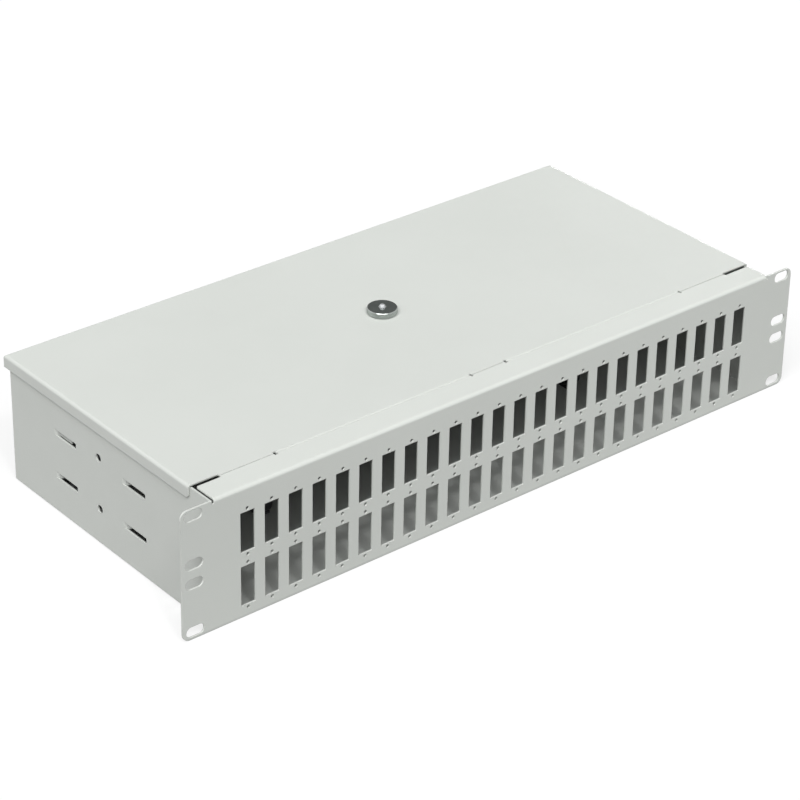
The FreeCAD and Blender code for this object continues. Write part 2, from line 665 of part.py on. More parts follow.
def tray_posts():
    """Two feet that carry the rear of the stack, pegged into the floor and the lower tray."""
    posts = []
    for place in post_places():
        peg = rod("z", place, 0.0, TRAY_SHEET, POST_PEG_DIAMETER / 2)
        body = rod("z", place, TRAY_SHEET, SPLICE_BASE, POST_DIAMETER / 2)
        pin = rod("z", place, SPLICE_BASE, SPLICE_BASE + SPLICE_WALL, POST_PIN_DIAMETER / 2)
        posts.append(joined([peg, body, pin]))
    return Part.makeCompound(posts)


def stack_clamp():
    """Spacer below the stack, washer and nut above it, all on the stud."""
    bore = STUD_RADIUS + THREAD_CLEARANCE
    nut_base = STACK_TOP + WASHER_SHEET
    return {
        "tray_spacer": ring(STUD_X, STUD_Y, TRAY_SHEET, SPLICE_BASE, bore + SPACER_WALL, bore),
        "tray_washer": ring(STUD_X, STUD_Y, STACK_TOP, nut_base, WASHER_DIAMETER / 2, bore),
        "tray_nut": hex_nut(STUD_X, STUD_Y, nut_base, STACK_NUT_HEIGHT, STACK_NUT_FLATS, bore),
    }


# Rear cable entries
def cable_grommet(x, z):
    """Rubber bush whose groove grips the edge of the entry in the rear wall."""
    bore = GROMMET_BORE_DIAMETER / 2
    neck = GROMMET_NECK_DIAMETER / 2
    flange = GROMMET_FLANGE_DIAMETER / 2
    inner = TRAY_REAR - TRAY_SHEET
    e = GROMMET_EDGE
    half = [
        (bore, inner - GROMMET_LIP),
        (flange - e, inner - GROMMET_LIP),
        (flange, inner - GROMMET_LIP + e),
        (flange, inner),
        (neck, inner),
        (neck, TRAY_REAR),
        (flange, TRAY_REAR),
        (flange, TRAY_REAR + GROMMET_LIP - e),
        (flange - e, TRAY_REAR + GROMMET_LIP),
        (bore, TRAY_REAR + GROMMET_LIP),
    ]
    points = [FreeCAD.Vector(x + a, y, z) for a, y in half]
    face = Part.Face(Part.makePolygon(points + points[:1]))
    return face.revolve(FreeCAD.Vector(x, 0, z), FreeCAD.Vector(0, 1, 0), 360)


# Cable anchors
def cable_anchor(side):
    """Angle bracket on the floor; cables are tied to the slotted upright."""
    x = side * ANCHOR_X
    path = [
        (ANCHOR_REAR - ANCHOR_BASE, TRAY_SHEET),
        (ANCHOR_REAR, TRAY_SHEET),
        (ANCHOR_REAR, TRAY_SHEET + ANCHOR_HEIGHT),
    ]
    half = ANCHOR_WIDTH / 2
    bracket = folded_sheet(path, ANCHOR_SHEET, ANCHOR_BEND_RADIUS, "yz", x - half, x + half)
    slot_top = TRAY_SHEET + ANCHOR_HEIGHT - ANCHOR_TIE_SLOT_WIDTH
    slot_low = slot_top - ANCHOR_TIE_SLOT_HEIGHT
    count = int((ANCHOR_WIDTH - ANCHOR_TIE_SLOT_PITCH) // ANCHOR_TIE_SLOT_PITCH)
    cutters = []
    for i in range(count):
        centre = x + (i - (count - 1) / 2) * ANCHOR_TIE_SLOT_PITCH
        w = ANCHOR_TIE_SLOT_WIDTH / 2
        y0 = ANCHOR_REAR - ANCHOR_SHEET - OVERCUT
        cutters.append(box(centre - w, centre + w, y0, ANCHOR_REAR + OVERCUT, slot_low, slot_top))
    for end in (-1, 1):
        place = (x + end * ANCHOR_STUD_SPACING / 2, ANCHOR_STUD_Y)
        radius = ANCHOR_STUD_CORE / 2 + FASTENER_CLEARANCE
        cutters.append(rod("z", place, TRAY_SHEET - OVERCUT, TRAY_SHEET + ANCHOR_SHEET + OVERCUT, radius))
    return pierced(bracket, cutters)


def anchor_fasteners():
    seat = TRAY_SHEET + ANCHOR_SHEET
    top = seat + ANCHOR_NUT_HEIGHT + ANCHOR_STUD_PROUD
    core = ANCHOR_STUD_CORE / 2
    studs = []
    nuts = []
    for x, y in anchor_stud_places():
        studs.append(clinch_stud(x, y, core, ANCHOR_STUD_HEAD / 2, top))
        nuts.append(hex_nut(x, y, seat, ANCHOR_NUT_HEIGHT, ANCHOR_NUT_FLATS, core + FASTENER_CLEARANCE))
    return {"anchor_studs": Part.makeCompound(studs), "anchor_nuts": Part.makeCompound(nuts)}


# Fibre guides
def fibre_guide(x, y):
    """Open plastic ring on a small foot, pegged into the floor; fibres run through it along X."""
    r = GUIDE_RING_DIAMETER / 2
    inner = r - GUIDE_RING_WALL
    centre_z = TRAY_SHEET + GUIDE_BASE_HEIGHT + inner
    x0 = x - GUIDE_WIDTH / 2
    x1 = x + GUIDE_WIDTH / 2
    hoop = rod("x", (y, centre_z), x0, x1, r).cut(rod("x", (y, centre_z), x0, x1, inner))
    reach = 2 * r
    spread = reach * math.tan(math.radians(GUIDE_GAP_ANGLE / 2))
    gap = [(y, centre_z), (y + spread, centre_z + reach), (y - spread, centre_z + reach)]
    hoop = hoop.cut(extrude(gap, "yz", x0 - OVERCUT, x1 + OVERCUT))
    half = GUIDE_BASE_LENGTH / 2
    foot = box(x0, x1, y - half, y + half, TRAY_SHEET, TRAY_SHEET + GUIDE_BASE_HEIGHT)
    foot = foot.cut(rod("x", (y, centre_z), x0, x1, inner))
    peg = rod("z", (x, y), 0.0, TRAY_SHEET, GUIDE_PEG_DIAMETER / 2)
    return joined([foot, hoop, peg])


# Earthing point
def earth_point():
    seat = TRAY_SHEET + EARTH_WASHER_SHEET
    top = seat + EARTH_NUT_HEIGHT + EARTH_STUD_PROUD
    core = EARTH_STUD_CORE / 2
    bore = core + FASTENER_CLEARANCE
    return {
        "earth_stud": clinch_stud(EARTH_X, EARTH_Y, core, EARTH_STUD_HEAD / 2, top),
        "earth_washer": ring(EARTH_X, EARTH_Y, TRAY_SHEET, seat, EARTH_WASHER_DIAMETER / 2, bore),
        "earth_nut": hex_nut(EARTH_X, EARTH_Y, seat, EARTH_NUT_HEIGHT, EARTH_NUT_FLATS, bore),
    }


def build():
    nodes = {
        "front_panel": front_panel(),
        "chassis_tray": chassis_tray(),
        "lid": lid(),
        "thumb_nut": thumb_nut(),
        "lid_stud": lid_stud(),
        "splice_tray_cover": splice_tray_cover(),
        "tray_posts": tray_posts(),
        "cable_anchor_left": cable_anchor(-1),
        "cable_anchor_right": cable_anchor(1),
    }
    for level, z0 in SPLICE_LEVELS.items():
        nodes["splice_tray_" + level] = splice_tray(z0)
        nodes["splice_comb_" + level] = splice_comb(z0)
    for i, centre in enumerate(entry_centres(), 1):
        nodes["cable_grommet_%d" % i] = cable_grommet(*centre)
    for i, place in enumerate(guide_places(), 1):
        nodes["fibre_guide_%d" % i] = fibre_guide(*place)
    nodes.update(stack_clamp())
    nodes.update(anchor_fasteners())
    nodes.update(earth_point())
    return nodes


os.makedirs("parts", exist_ok=True)
for name, shape in build().items():
    shape.exportStep("parts/%s.step" % name)
    state = "ok" if shape.isValid() else "BAD"
    print("%-20s %2d solid(s) %10.1f mm3 %s" % (name, len(shape.Solids), shape.Volume, state))
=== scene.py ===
import json
import math

import bpy
from mathutils import Matrix, Vector


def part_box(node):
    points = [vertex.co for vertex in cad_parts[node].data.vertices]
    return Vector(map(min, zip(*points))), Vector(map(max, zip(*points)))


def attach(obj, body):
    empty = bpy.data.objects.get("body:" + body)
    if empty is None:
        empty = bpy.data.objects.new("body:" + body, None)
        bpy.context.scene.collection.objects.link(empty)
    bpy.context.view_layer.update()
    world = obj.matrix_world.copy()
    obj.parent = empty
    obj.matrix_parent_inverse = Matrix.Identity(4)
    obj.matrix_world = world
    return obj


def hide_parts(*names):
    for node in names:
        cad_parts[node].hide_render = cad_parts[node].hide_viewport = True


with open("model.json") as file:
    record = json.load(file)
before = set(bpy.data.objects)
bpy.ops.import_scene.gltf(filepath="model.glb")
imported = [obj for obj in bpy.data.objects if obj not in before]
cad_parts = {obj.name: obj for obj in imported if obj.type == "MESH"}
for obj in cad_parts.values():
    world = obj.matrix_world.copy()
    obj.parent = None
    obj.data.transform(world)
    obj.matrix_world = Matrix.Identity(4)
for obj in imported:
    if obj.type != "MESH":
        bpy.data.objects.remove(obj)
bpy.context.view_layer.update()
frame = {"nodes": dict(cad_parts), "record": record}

# Looks of a fibre patch panel: painted sheet steel, a knurled nut on a stud, and the pieces inside.
# Metres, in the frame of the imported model.
MM = 0.001
nodes = frame["nodes"]

# Camera fitted to the photograph, with angles in degrees
CAMERA_PLACE = (-0.97923, -1.16968, 0.9038)
CAMERA_AZIMUTH = -40.1413
CAMERA_ELEVATION = 27.5163
CAMERA_ROLL = 1.1334
CAMERA_SENSOR = 36.0
CAMERA_LENS = 125.4612
CAMERA_SHIFT = (-0.0106, -0.1494)
CAMERA_REACH = 50.0

# Sky and lamps; each lamp has the direction towards it, its strength and its spread in degrees
SKY_COLOUR = (0.97, 0.99, 1.0, 1.0)
SKY_LIGHT = 0.30
LAMPS = {
    "left": ((-0.586, -0.286, 0.735), 2.06, 36.0),
    "front": ((-0.182, -0.600, 0.759), 1.05, 40.0),
    "front_small": ((-0.182, -0.600, 0.759), 0.52, 6.0),
    "rear_fill": ((0.75, 0.66, 0.025), 0.42, 4.0),
}
LAMP_DISTANCE = 3.0

# Floor, and the dark card that polished metal reflects
FLOOR_WHITE = 0.90
FLOOR_GLOW = 0.70
FLOOR_BOUNCE = 0.20
FLOOR_SIZE = 14.0
FLOOR_DROP = 0.3 * MM
CARD_GREY = (0.43, 0.44, 0.435, 1.0)
CARD_DISTANCE = 1.2
CARD_SIZE = (0.75, 0.5)

# Shared by all materials: the part of a noise that counts, and the ends of a two-tone drift
NOISE_RANGE = (0.25, 0.75)
TONE_PLACES = (0.3, 0.7)
BEVEL_SAMPLES = 6

# Powder coat outside, painted shade along the edge that the panel stands on, and painted shade inside the
# housing as a darker coat
PAINT_DARK = (0.590, 0.610, 0.578, 1.0)
PAINT_LIGHT = (0.612, 0.632, 0.600, 1.0)
PANEL_DARK = (0.611, 0.631, 0.598, 1.0)
PANEL_LIGHT = (0.633, 0.654, 0.620, 1.0)
EDGE_SHADE_DARK = (0.470, 0.488, 0.462, 1.0)
EDGE_SHADE_HEIGHT = 1.9 * MM
EDGE_SHADE_SHARE = (0.7, 1.0)
SHADED_COAT_DARK = (0.450, 0.466, 0.444, 1.0)
SHADED_COAT_LIGHT = (0.480, 0.496, 0.474, 1.0)
SHADED_INSIDE_LOW = (-0.2194, -0.1042, 0.0008)
SHADED_INSIDE_HIGH = (0.2194, 0.0996, 0.0852)
PAINT_ROUGHNESS = (0.42, 0.54)
PAINT_IOR = 1.5
PAINT_EDGE = 0.35 * MM

# Powder coat texture: noise scales, and the strength and height of its orange peel and its grain
PAINT_DRIFT_SCALE = 9.0
PAINT_SHEEN_SCALE = 60.0
# Noise scales of the painted shade along the panel's lower edge: its tone and its uneven share
EDGE_SHADE_TONE_SCALE = 70.0
EDGE_SHADE_SHARE_SCALE = 24.0
PEEL_SCALE, PEEL_STRENGTH, PEEL_HEIGHT = 800.0, 0.12, 0.05 * MM
GRAIN_SCALE, GRAIN_STRENGTH, GRAIN_HEIGHT = 3200.0, 0.10, 0.02 * MM

# Plated metals
NICKEL_DARK = (0.385, 0.410, 0.395, 1.0)
NICKEL_LIGHT = (0.430, 0.455, 0.440, 1.0)
NICKEL_ROUGHNESS = (0.05, 0.10)
NICKEL_EDGE = 0.05 * MM
ZINC_DARK = (0.42, 0.43, 0.44, 1.0)
ZINC_LIGHT = (0.54, 0.55, 0.56, 1.0)
ZINC_ROUGHNESS = (0.56, 0.70)
ZINC_EDGE = 0.15 * MM
PLATED_TONE_SCALE = 160.0
PLATED_SHEEN_SCALE = 900.0
PLATED_SCALE, PLATED_STRENGTH, PLATED_HEIGHT = 5200.0, 0.05, 0.01 * MM

# Moulded plastics and rubbers: dark and light tone, roughness, and the scale and strength of the grain
MOULDINGS = {
    "tray_plastic": ((0.135, 0.14, 0.145, 1.0), (0.165, 0.17, 0.175, 1.0), (0.42, 0.56), 2400.0, 0.25),
    "comb_rubber": ((0.05, 0.05, 0.053, 1.0), (0.075, 0.075, 0.08, 1.0), (0.62, 0.78), 1500.0, 0.3),
    "black_nylon": ((0.036, 0.036, 0.040, 1.0), (0.052, 0.052, 0.057, 1.0), (0.36, 0.5), 2000.0, 0.2),
    "bush_rubber": ((0.014, 0.014, 0.015, 1.0), (0.026, 0.026, 0.028, 1.0), (0.6, 0.75), 1300.0, 0.3),
}
MOULDED_TONE_SCALE = 45.0
MOULDED_SHEEN_SCALE = 500.0
MOULDED_HEIGHT = 0.04 * MM
MOULDED_EDGE = 0.25 * MM

# Knurled nut; each edge of its foot and crown has its inset from the rim, and its height above the
# nut's underside or its depth below the nut's top, in mm
NUT_BORE = 2.15 * MM
NUT_COUNTERSINK = 0.30 * MM
NUT_FOOT = ((1.30, 0.0), (1.30, 0.45), (0.42, 0.47), (0.28, 0.56))
NUT_CROWN = ((0.12, 0.40), (0.15, 0.32), (0.40, 0.06), (0.48, 0.0))
KNURL_FOOT = 0.70 * MM
KNURL_CROWN = 0.50 * MM
KNURL_TEETH = 84
KNURL_DEPTHS = (0.0, 0.14 * MM, 0.26 * MM, 0.14 * MM)
KNURL_SHARP = 26.0

# Threads: root radius, crest radius and pitch of each, and the bare end of its stud
LID_THREAD = (1.63 * MM, 1.98 * MM, 0.7 * MM)
EARTH_THREAD = (2.43 * MM, 2.8 * MM, 1.0 * MM)
ANCHOR_THREAD = (1.63 * MM, 1.95 * MM, 0.7 * MM)
LID_THREAD_END = 0.2 * MM
EARTH_THREAD_END = 0.3 * MM
ANCHOR_THREAD_END = 0.3 * MM
THREAD_SEGMENTS = 28
THREAD_LIFTS = (0.08, 0.44, 0.56, 0.92)
THREAD_SHARP = 40.0

# Hexagon nuts; the flat of an end is a share of the width across flats, and the chamfer is in degrees
TRAY_NUT_BORE = 2.15 * MM
EARTH_NUT_BORE = 2.85 * MM
ANCHOR_NUT_BORE = 2.05 * MM
ANCHOR_NUT_OFFSET = 20.0 * MM
HEX_COUNTERSINK = 0.4 * MM
HEX_FLAT_SHARE = 0.95
HEX_CHAMFER = 30.0
HEX_STEPS = 96
HEX_SHARP = 20.0

# Rubber bushes; the mouth lists how far each edge is from the bore and from the bush's end
BUSH_COUNT = 4
BUSH_BORE = 6.5 * MM
BUSH_NECK = 10.0 * MM
BUSH_LIP = 1.8 * MM
BUSH_ROUND = 0.85 * MM
BUSH_ROUND_STEPS = 6
BUSH_MOUTH = ((0.15 * MM, BUSH_LIP), (0.5 * MM, 0.25 * MM), (1.1 * MM, 0.0))
BUSH_STEPS = 64
BUSH_SHARP = 40.0


# Shader nodes
def new_material(name):
    mat = bpy.data.materials.new(name)
    mat.use_nodes = True
    tree = mat.node_tree
    return mat, tree, tree.nodes["Principled BSDF"]


def object_coordinates(tree):
    return tree.nodes.new("ShaderNodeTexCoord").outputs["Object"]


def noise(tree, where, scale, detail=2.0):
    node = tree.nodes.new("ShaderNodeTexNoise")
    node.inputs["Scale"].default_value = scale
    node.inputs["Detail"].default_value = detail
    tree.links.new(where, node.inputs["Vector"])
    return node.outputs["Fac"]


def two_tone(tree, fac, dark, light):
    """Colour that drifts between a dark and a light tone."""
    node = tree.nodes.new("ShaderNodeValToRGB")
    for element, place, colour in zip(node.color_ramp.elements, TONE_PLACES, (dark, light)):
        element.position = place
        element.color = colour
    tree.links.new(fac, node.inputs["Fac"])
    return node.outputs["Color"]


def map_range(tree, value, source, target):
    node = tree.nodes.new("ShaderNodeMapRange")
    node.inputs["From Min"].default_value, node.inputs["From Max"].default_value = source
    node.inputs["To Min"].default_value, node.inputs["To Max"].default_value = target
    tree.links.new(value, node.inputs["Value"])
    return node.outputs["Result"]


def soft_edges(tree, radius):
    node = tree.nodes.new("ShaderNodeBevel")
    node.samples = BEVEL_SAMPLES
    node.inputs["Radius"].default_value = radius
    return node.outputs["Normal"]


def bump(tree, height, strength, distance, normal):
    node = tree.nodes.new("ShaderNodeBump")
    node.inputs["Strength"].default_value = strength
    node.inputs["Distance"].default_value = distance
    tree.links.new(height, node.inputs["Height"])
    tree.links.new(normal, node.inputs["Normal"])
    return node.outputs["Normal"]


def vector_math(tree, operation, first, second=None):
    node = tree.nodes.new("ShaderNodeVectorMath")
    node.operation = operation
    tree.links.new(first, node.inputs[0])
    if second is not None:
        node.inputs[1].default_value = second
    return node.outputs["Vector"]


def number_math(tree, operation, first, second):
    node = tree.nodes.new("ShaderNodeMath")
    node.operation = operation
    tree.links.new(first, node.inputs[0])
    if isinstance(second, float):
        node.inputs[1].default_value = second
    else:
        tree.links.new(second, node.inputs[1])
    return node.outputs["Value"]


def split_vector(tree, vector):
    node = tree.nodes.new("ShaderNodeSeparateXYZ")
    tree.links.new(vector, node.inputs[0])
    return node.outputs


def mix_colours(tree, fac, first, second):
    node = tree.nodes.new("ShaderNodeMix")
    node.data_type = "RGBA"
    tree.links.new(fac, node.inputs["Factor"])
    tree.links.new(first, node.inputs["A"])
    tree.links.new(second, node.inputs["B"])
    return node.outputs["Result"]


def inside_box(tree, where, low, high):
    """One for points inside a box of object space, nought outside."""
    middle = [(a + b) / 2 for a, b in zip(low, high)]
    half = [(b - a) / 2 for a, b in zip(low, high)]
    off = vector_math(tree, "DIVIDE", vector_math(tree, "SUBTRACT", where, middle), half)
    axes = split_vector(tree, vector_math(tree, "ABSOLUTE", off))
    largest = number_math(tree, "MAXIMUM", axes["X"], axes["Y"])
    largest = number_math(tree, "MAXIMUM", largest, axes["Z"])
    return number_math(tree, "LESS_THAN", largest, 1.0)


def painted_edge_shade(tree, where):
    """Uneven share of painted shade at the edge that the panel stands on, darker towards the bottom and
    fading to nought at the shade's height.
    """
    fade = map_range(tree, split_vector(tree, where)["Z"], (0.0, EDGE_SHADE_HEIGHT), (1.0, 0.0))
    share = map_range(tree, noise(tree, where, EDGE_SHADE_SHARE_SCALE), NOISE_RANGE, EDGE_SHADE_SHARE)
    return number_math(tree, "MULTIPLY", fade, share)


# Materials
def powder_coat(name, dark, light, shaded_lower_edge=False):
    """Light grey powder coat, darker inside the housing as painted shade, with orange peel, fine grain and
    softened edges.
    """
    mat, tree, shader = new_material(name)
    where = object_coordinates(tree)
    drift = noise(tree, where, PAINT_DRIFT_SCALE, detail=4.0)
    outer = two_tone(tree, drift, dark, light)
    # Painted shade along the lower edge, darker towards the bottom in uneven patches
    if shaded_lower_edge:
        edge_shade = two_tone(tree, noise(tree, where, EDGE_SHADE_TONE_SCALE), EDGE_SHADE_DARK, SHADED_COAT_LIGHT)
        outer = mix_colours(tree, painted_edge_shade(tree, where), outer, edge_shade)
    # Painted shade inside the housing: a darker coat on all surfaces within the box
    inner_shade = two_tone(tree, drift, SHADED_COAT_DARK, SHADED_COAT_LIGHT)
    coat = mix_colours(tree, inside_box(tree, where, SHADED_INSIDE_LOW, SHADED_INSIDE_HIGH), outer, inner_shade)
    tree.links.new(coat, shader.inputs["Base Color"])
    uneven = noise(tree, where, PAINT_SHEEN_SCALE, detail=3.0)
    tree.links.new(map_range(tree, uneven, NOISE_RANGE, PAINT_ROUGHNESS), shader.inputs["Roughness"])
    edges = soft_edges(tree, PAINT_EDGE)
    peel = bump(tree, noise(tree, where, PEEL_SCALE, detail=1.0), PEEL_STRENGTH, PEEL_HEIGHT, edges)
    grain = bump(tree, noise(tree, where, GRAIN_SCALE), GRAIN_STRENGTH, GRAIN_HEIGHT, peel)
    tree.links.new(grain, shader.inputs["Normal"])
    shader.inputs["IOR"].default_value = PAINT_IOR
    return mat


def plated(name, dark, light, roughness, edge):
    """Plated metal with a drifting tone and a fine uneven sheen."""
    mat, tree, shader = new_material(name)
    where = object_coordinates(tree)
    drift = noise(tree, where, PLATED_TONE_SCALE, detail=3.0)
    tree.links.new(two_tone(tree, drift, dark, light), shader.inputs["Base Color"])
    uneven = noise(tree, where, PLATED_SHEEN_SCALE, detail=4.0)
    tree.links.new(map_range(tree, uneven, NOISE_RANGE, roughness), shader.inputs["Roughness"])
    edges = soft_edges(tree, edge)
    fine = bump(tree, noise(tree, where, PLATED_SCALE), PLATED_STRENGTH, PLATED_HEIGHT, edges)
    tree.links.new(fine, shader.inputs["Normal"])
    shader.inputs["Metallic"].default_value = 1.0
    return mat


def moulded(name, dark, light, roughness, grain_scale, grain_strength):
    """Moulded plastic or rubber with a fine eroded grain."""
    mat, tree, shader = new_material(name)
    where = object_coordinates(tree)
    drift = noise(tree, where, MOULDED_TONE_SCALE, detail=4.0)
    tree.links.new(two_tone(tree, drift, dark, light), shader.inputs["Base Color"])
    uneven = noise(tree, where, MOULDED_SHEEN_SCALE, detail=3.0)
    tree.links.new(map_range(tree, uneven, NOISE_RANGE, roughness), shader.inputs["Roughness"])
    edges = soft_edges(tree, MOULDED_EDGE)
    grain = bump(tree, noise(tree, where, grain_scale), grain_strength, MOULDED_HEIGHT, edges)
    tree.links.new(grain, shader.inputs["Normal"])
    return mat


paint = powder_coat("powder_coat", PAINT_DARK, PAINT_LIGHT)
# The front panel's coat carries painted shade along its lower edge
panel_paint = powder_coat("powder_coat_panel", PANEL_DARK, PANEL_LIGHT, shaded_lower_edge=True)
MATERIALS = {
    "painted_sheet": paint,
    "zinc_steel": plated("bright_zinc", ZINC_DARK, ZINC_LIGHT, ZINC_ROUGHNESS, ZINC_EDGE),
    "nickel": plated("polished_nickel", NICKEL_DARK, NICKEL_LIGHT, NICKEL_ROUGHNESS, NICKEL_EDGE),
}
for slot, looks in MOULDINGS.items():
    MATERIALS[slot] = moulded(slot, *looks)
for subpart in frame["record"]["subparts"]:
    mesh = nodes[subpart["node"]].data
    mesh.materials.clear()
    mesh.materials.append(MATERIALS[subpart["material_slot"]])
nodes["front_panel"].data.materials[0] = panel_paint


# Pieces made of rings
def place_piece(name, verts, faces, slot, body, replaced, sharp):
    """New piece on a body; edges that turn by more than sharp degrees stay crisp."""
    mesh = bpy.data.meshes.new(name)
    mesh.from_pydata(verts, [], faces)
    mesh.validate()
    mesh.materials.append(MATERIALS[slot])
    mesh.shade_smooth()
    mesh.set_sharp_from_angle(angle=math.radians(sharp))
    piece = bpy.data.objects.new(name, mesh)
    bpy.context.scene.collection.objects.link(piece)
    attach(piece, body)
    if replaced:
        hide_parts(*replaced)


def ring_points(x, y, rings):
    """Points about an upright axis; each ring lists the radius and the height of its points."""
    verts = []
    for ring in rings:
        for j, (radius, z) in enumerate(ring):
            turn = 2 * math.pi * j / len(ring)
            verts.append((x + radius * math.cos(turn), y + radius * math.sin(turn), z))
    return verts


def ring_faces(rings, count):
    """Quads between neighbouring rings of count points, with the last ring joined to the first."""
    faces = []
    for i in range(rings):
        low = i * count
        high = ((i + 1) % rings) * count
        for j in range(count):
            k = (j + 1) % count
            faces.append((low + j, low + k, high + k, high + j))
    return faces


def centre_of(node):
    low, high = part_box(node)
    return (low + high) / 2, low, high


# Knurled nut
def knurled_nut():
    centre, low, high = centre_of("thumb_nut")
    rim = (high.x - low.x) / 2
    mouth = NUT_BORE + NUT_COUNTERSINK
    steps = KNURL_TEETH * len(KNURL_DEPTHS)

    def plain(radius, z):
        return [(radius, z)] * steps

    def knurled(z):
        return [(rim - depth, z) for depth in KNURL_DEPTHS] * KNURL_TEETH

    rings = [plain(NUT_BORE, low.z + NUT_COUNTERSINK), plain(mouth, low.z)]
    rings += [plain(rim - inset * MM, low.z + height * MM) for inset, height in NUT_FOOT]
    rings += [knurled(low.z + KNURL_FOOT), knurled(high.z - KNURL_CROWN)]
    rings += [plain(rim - inset * MM, high.z - depth * MM) for inset, depth in NUT_CROWN]
    rings += [plain(mouth, high.z), plain(NUT_BORE, high.z - NUT_COUNTERSINK)]
    verts = ring_points(centre.x, centre.y, rings)
    faces = ring_faces(len(rings), steps)
    place_piece("thumb_nut_knurled", verts, faces, "nickel", "nut", ["thumb_nut"], KNURL_SHARP)


# Threads
def thread(name, x, y, z0, z1, root, crest, pitch):
    """Helical ridge wound on a plain stud from z0 to z1, fading out at both ends."""
    total = int(((z1 - z0) / pitch - 1) * THREAD_SEGMENTS)
    verts = []
    for i in range(total + 1):
        turn = 2 * math.pi * i / THREAD_SEGMENTS
        z = z0 + pitch * i / THREAD_SEGMENTS
        grown = min(1.0, i / THREAD_SEGMENTS, (total - i) / THREAD_SEGMENTS)
        top = root + (crest - root) * grown
        for radius, lift in zip((root, top, top, root), THREAD_LIFTS):
            verts.append((x + radius * math.cos(turn), y + radius * math.sin(turn), z + lift * pitch))
    corners = len(THREAD_LIFTS)
    last = total * corners
    faces = []
    for i in range(0, last, corners):
        for j in range(corners):
            k = (j + 1) % corners
            faces.append((i + j, i + corners + j, i + corners + k, i + k))
    faces.append(tuple(range(corners)))
    faces.append(tuple(reversed(range(last, last + corners))))
    place_piece(name, verts, faces, "zinc_steel", "housing", (), THREAD_SHARP)


# Hexagon nuts
def hex_nut(name, x, y, z0, z1, flats, bore, replaced):
    """Hexagon nut with turned chamfers on both ends and countersunk bores."""
    face = flats / 2 * HEX_FLAT_SHARE
    mouth = bore + HEX_COUNTERSINK
    slope = math.tan(math.radians(HEX_CHAMFER))

    def plain(radius, z):
        return [(radius, z)] * HEX_STEPS

    def hexagon(z, inward):
        ring = []
        for j in range(HEX_STEPS):
            off = (2 * math.pi * j / HEX_STEPS) % (math.pi / 3) - math.pi / 6
            radius = flats / 2 / math.cos(off)
            ring.append((radius, z + inward * (radius - face) * slope))
        return ring

    rings = [
        plain(bore, z0 + HEX_COUNTERSINK),
        plain(mouth, z0),
        plain(face, z0),
        hexagon(z0, 1),
        hexagon(z1, -1),
        plain(face, z1),
        plain(mouth, z1),
        plain(bore, z1 - HEX_COUNTERSINK),
    ]
    faces = ring_faces(len(rings), HEX_STEPS)
    place_piece(name, ring_points(x, y, rings), faces, "zinc_steel", "housing", replaced, HEX_SHARP)


# Rubber bushes in the rear wall
def bush(name, node):
    """Bush with rounded lips on both sides of the wall; its two halves mirror each other."""
    centre, low, high = centre_of(node)
    flange = (high.x - low.x) / 2
    wall = low.y + BUSH_LIP
    half = [(BUSH_BORE + reach, low.y + depth) for reach, depth in BUSH_MOUTH]
    for i in range(BUSH_ROUND_STEPS + 1):
        turn = math.pi / 2 * i / BUSH_ROUND_STEPS
        reach = flange - BUSH_ROUND + BUSH_ROUND * math.sin(turn)
        half.append((reach, low.y + BUSH_ROUND - BUSH_ROUND * math.cos(turn)))
    half += [(flange, wall), (BUSH_NECK, wall)]
    other_half = [(radius, low.y + high.y - y) for radius, y in reversed(half)]
    profile = [(BUSH_BORE, centre.y)] + half + other_half
    rings = [[edge] * BUSH_STEPS for edge in profile]
    verts = [(x, y, z) for x, z, y in ring_points(centre.x, centre.z, rings)]
    faces = ring_faces(len(rings), BUSH_STEPS)
    place_piece(name, verts, faces, "bush_rubber", "housing", [node], BUSH_SHARP)


knurled_nut()
stud, _, stud_high = centre_of("lid_stud")
_, nut_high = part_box("tray_nut")
thread("lid_stud_thread", stud.x, stud.y, nut_high.z, stud_high.z - LID_THREAD_END, *LID_THREAD)
for i in range(1, BUSH_COUNT + 1):
    bush("cable_bush_%d" % i, "cable_grommet_%d" % i)
middle, low, high = centre_of("tray_nut")
flats = high.y - low.y
hex_nut("tray_nut_chamfered", middle.x, middle.y, low.z, high.z, flats, TRAY_NUT_BORE, ["tray_nut"])
middle, low, high = centre_of("earth_nut")
flats = high.y - low.y
hex_nut("earth_nut_chamfered", middle.x, middle.y, low.z, high.z, flats, EARTH_NUT_BORE, ["earth_nut"])
earth, _, earth_high = centre_of("earth_stud")
thread("earth_stud_thread", earth.x, earth.y, high.z, earth_high.z - EARTH_THREAD_END, *EARTH_THREAD)

# Nuts and threads of the two cable anchors; the first nut hides the CAD node that holds all four
middle, low, high = centre_of("anchor_nuts")
flats = high.y - low.y
_, stud_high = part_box("anchor_studs")
thread_top = stud_high.z - ANCHOR_THREAD_END
number = 0
for side in ("left", "right"):
    anchor, _, _ = centre_of("cable_anchor_" + side)
    for end in (-1, 1):
        number += 1
        x = anchor.x + end * ANCHOR_NUT_OFFSET
        replaced = ["anchor_nuts"] if number == 1 else ()
        hex_nut("anchor_nut_%d" % number, x, middle.y, low.z, high.z, flats, ANCHOR_NUT_BORE, replaced)
        thread("anchor_thread_%d" % number, x, middle.y, high.z, thread_top, *ANCHOR_THREAD)


# Studio
def seen_directly(tree):
    """One for rays from the camera, from gloss and through glass, and nought for the rest."""
    path = tree.nodes.new("ShaderNodeLightPath").outputs
    seen = number_math(tree, "MAXIMUM", path["Is Camera Ray"], path["Is Glossy Ray"])
    return number_math(tree, "MAXIMUM", seen, path["Is Transmission Ray"])


